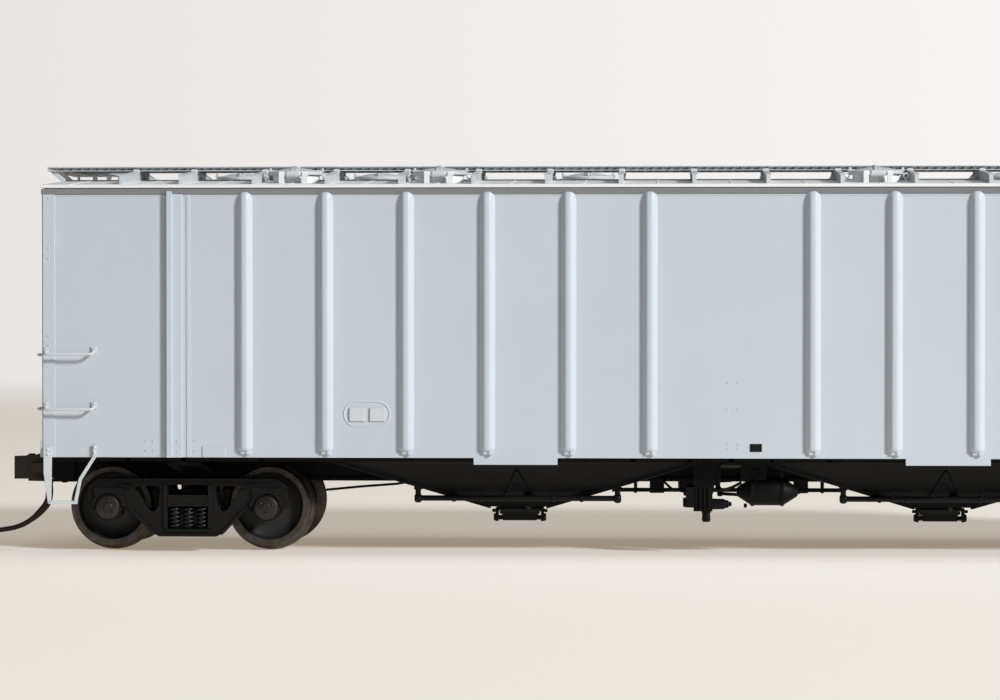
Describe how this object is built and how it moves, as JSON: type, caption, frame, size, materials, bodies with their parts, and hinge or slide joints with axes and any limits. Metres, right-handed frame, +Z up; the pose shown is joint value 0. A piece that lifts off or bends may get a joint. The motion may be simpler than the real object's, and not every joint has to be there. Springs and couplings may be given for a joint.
{
  "type": "model hopper car",
  "caption": "Covered hopper railway car model at 1:87: ribbed body, roof with round hinged hatches, two discharge bays, swing couplers and two swivelling trucks.",
  "frame": {"origin": "middle of the car on the surface that its wheel flanges stand on", "axes": "+X along the car towards the hand brake end, +Z up, so the near side faces -Y"},
  "size_m": [0.193, 0.0388, 0.0498],
  "materials": {
    "body_grey": "satin light grey paint over moulded plastic",
    "underframe_black": "satin black",
    "wheel_metal": "blackened turned metal with bare treads",
    "axle_metal": "blackened steel",
    "coupler_metal": "brown-black cast metal",
    "bare_steel": "bare steel"
  },
  "bodies": {
    "car_body": {"body_shell": "body_grey", "roof": "body_grey", "running_board": "body_grey", "underframe": "underframe_black", "discharge_bay_a": "underframe_black", "discharge_bay_b": "underframe_black", "pneumatic_outlet_a": "underframe_black", "pneumatic_outlet_b": "underframe_black", "control_valve": "underframe_black", "air_reservoir": "underframe_black", "brake_cylinder": "underframe_black", "brake_rigging": "underframe_black", "ballast_weight": "bare_steel", "side_ladder_near": "body_grey", "grab_iron_near_upper": "body_grey", "grab_iron_near_lower": "body_grey", "step_near_a": "body_grey", "step_near_b": "body_grey", "side_ladder_far": "body_grey", "grab_iron_far_upper": "body_grey", "grab_iron_far_lower": "body_grey", "step_far_a": "body_grey", "step_far_b": "body_grey", "end_ladder_a": "body_grey", "end_ladder_b": "body_grey"},
    "brake_wheel": {"brake_wheel": "body_grey"},
    "hatch_cover_01": {"hatch_cover_01": "body_grey"},
    "hatch_cover_02": {"hatch_cover_02": "body_grey"},
    "hatch_cover_03": {"hatch_cover_03": "body_grey"},
    "hatch_cover_04": {"hatch_cover_04": "body_grey"},
    "hatch_cover_05": {"hatch_cover_05": "body_grey"},
    "hatch_cover_06": {"hatch_cover_06": "body_grey"},
    "hatch_cover_07": {"hatch_cover_07": "body_grey"},
    "hatch_cover_08": {"hatch_cover_08": "body_grey"},
    "hatch_cover_09": {"hatch_cover_09": "body_grey"},
    "hatch_cover_10": {"hatch_cover_10": "body_grey"},
    "coupler_a": {"coupler_head_a": "coupler_metal"},
    "knuckle_a": {"knuckle_a": "coupler_metal"},
    "coupler_b": {"coupler_head_b": "coupler_metal"},
    "knuckle_b": {"knuckle_b": "coupler_metal"},
    "truck_a": {"truck_bolster_a": "underframe_black", "kingpin_screw_a": "bare_steel", "side_frame_a_near": "underframe_black", "side_frame_a_far": "underframe_black"},
    "wheelset_1": {"axle_1": "axle_metal", "wheel_1_near": "wheel_metal", "wheel_1_far": "wheel_metal"},
    "wheelset_2": {"axle_2": "axle_metal", "wheel_2_near": "wheel_metal", "wheel_2_far": "wheel_metal"},
    "truck_b": {"truck_bolster_b": "underframe_black", "kingpin_screw_b": "bare_steel", "side_frame_b_near": "underframe_black", "side_frame_b_far": "underframe_black"},
    "wheelset_3": {"axle_3": "axle_metal", "wheel_3_near": "wheel_metal", "wheel_3_far": "wheel_metal"},
    "wheelset_4": {"axle_4": "axle_metal", "wheel_4_near": "wheel_metal", "wheel_4_far": "wheel_metal"}
  },
  "joints": [
    {"name": "brake_wheel_turn", "type": "hinge", "parent": "car_body", "child": "brake_wheel", "pos_m": [0.08865, -0.0042, 0.033], "axis": [1, 0, 0], "continuous": true},
    {"name": "hatch_hinge_01", "type": "hinge", "parent": "car_body", "child": "hatch_cover_01", "pos_m": [-0.0558, -0.01355, 0.0484], "axis": [1, 0, 0], "range_deg": [0, 100]},
    {"name": "hatch_hinge_02", "type": "hinge", "parent": "car_body", "child": "hatch_cover_02", "pos_m": [-0.0372, -0.01355, 0.0484], "axis": [1, 0, 0], "range_deg": [0, 100]},
    {"name": "hatch_hinge_03", "type": "hinge", "parent": "car_body", "child": "hatch_cover_03", "pos_m": [0.0186, -0.01355, 0.0484], "axis": [1, 0, 0], "range_deg": [0, 100]},
    {"name": "hatch_hinge_04", "type": "hinge", "parent": "car_body", "child": "hatch_cover_04", "pos_m": [0.0465, -0.01355, 0.0484], "axis": [1, 0, 0], "range_deg": [0, 100]},
    {"name": "hatch_hinge_05", "type": "hinge", "parent": "car_body", "child": "hatch_cover_05", "pos_m": [0.0651, -0.01355, 0.0484], "axis": [1, 0, 0], "range_deg": [0, 100]},
    {"name": "hatch_hinge_06", "type": "hinge", "parent": "car_body", "child": "hatch_cover_06", "pos_m": [0.0558, 0.01355, 0.0484], "axis": [-1, 0, 0], "range_deg": [0, 100]},
    {"name": "hatch_hinge_07", "type": "hinge", "parent": "car_body", "child": "hatch_cover_07", "pos_m": [0.0372, 0.01355, 0.0484], "axis": [-1, 0, 0], "range_deg": [0, 100]},
    {"name": "hatch_hinge_08", "type": "hinge", "parent": "car_body", "child": "hatch_cover_08", "pos_m": [-0.0186, 0.01355, 0.0484], "axis": [-1, 0, 0], "range_deg": [0, 100]},
    {"name": "hatch_hinge_09", "type": "hinge", "parent": "car_body", "child": "hatch_cover_09", "pos_m": [-0.0465, 0.01355, 0.0484], "axis": [-1, 0, 0], "range_deg": [0, 100]},
    {"name": "hatch_hinge_10", "type": "hinge", "parent": "car_body", "child": "hatch_cover_10", "pos_m": [-0.0651, 0.01355, 0.0484], "axis": [-1, 0, 0], "range_deg": [0, 100]},
    {"name": "coupler_swing_a", "type": "hinge", "parent": "car_body", "child": "coupler_a", "pos_m": [-0.0828, 0, 0.0103], "axis": [0, 0, 1], "range_deg": [-10, 10], "stiffness_Nm_per_rad": 0.002},
    {"name": "knuckle_open_a", "type": "hinge", "parent": "coupler_a", "child": "knuckle_a", "pos_m": [-0.0922, 0.0014, 0.0103], "axis": [0, 0, -1], "range_deg": [0, 25], "stiffness_Nm_per_rad": 0.001},
    {"name": "coupler_swing_b", "type": "hinge", "parent": "car_body", "child": "coupler_b", "pos_m": [0.0828, 0, 0.0103], "axis": [0, 0, 1], "range_deg": [-10, 10], "stiffness_Nm_per_rad": 0.002},
    {"name": "knuckle_open_b", "type": "hinge", "parent": "coupler_b", "child": "knuckle_b", "pos_m": [0.0922, -0.0014, 0.0103], "axis": [0, 0, -1], "range_deg": [0, 25], "stiffness_Nm_per_rad": 0.001},
    {"name": "truck_swivel_a", "type": "hinge", "parent": "car_body", "child": "truck_a", "pos_m": [-0.0695, 0, 0.00855], "axis": [0, 0, 1], "range_deg": [-12, 12]},
    {"name": "wheelset_spin_1", "type": "hinge", "parent": "truck_a", "child": "wheelset_1", "pos_m": [-0.0797, 0, 0.00575], "axis": [0, 1, 0], "continuous": true},
    {"name": "wheelset_spin_2", "type": "hinge", "parent": "truck_a", "child": "wheelset_2", "pos_m": [-0.0593, 0, 0.00575], "axis": [0, 1, 0], "continuous": true},
    {"name": "truck_swivel_b", "type": "hinge", "parent": "car_body", "child": "truck_b", "pos_m": [0.0695, 0, 0.00855], "axis": [0, 0, 1], "range_deg": [-12, 12]},
    {"name": "wheelset_spin_3", "type": "hinge", "parent": "truck_b", "child": "wheelset_3", "pos_m": [0.0593, 0, 0.00575], "axis": [0, 1, 0], "continuous": true},
    {"name": "wheelset_spin_4", "type": "hinge", "parent": "truck_b", "child": "wheelset_4", "pos_m": [0.0797, 0, 0.00575], "axis": [0, 1, 0], "continuous": true}
  ]
}
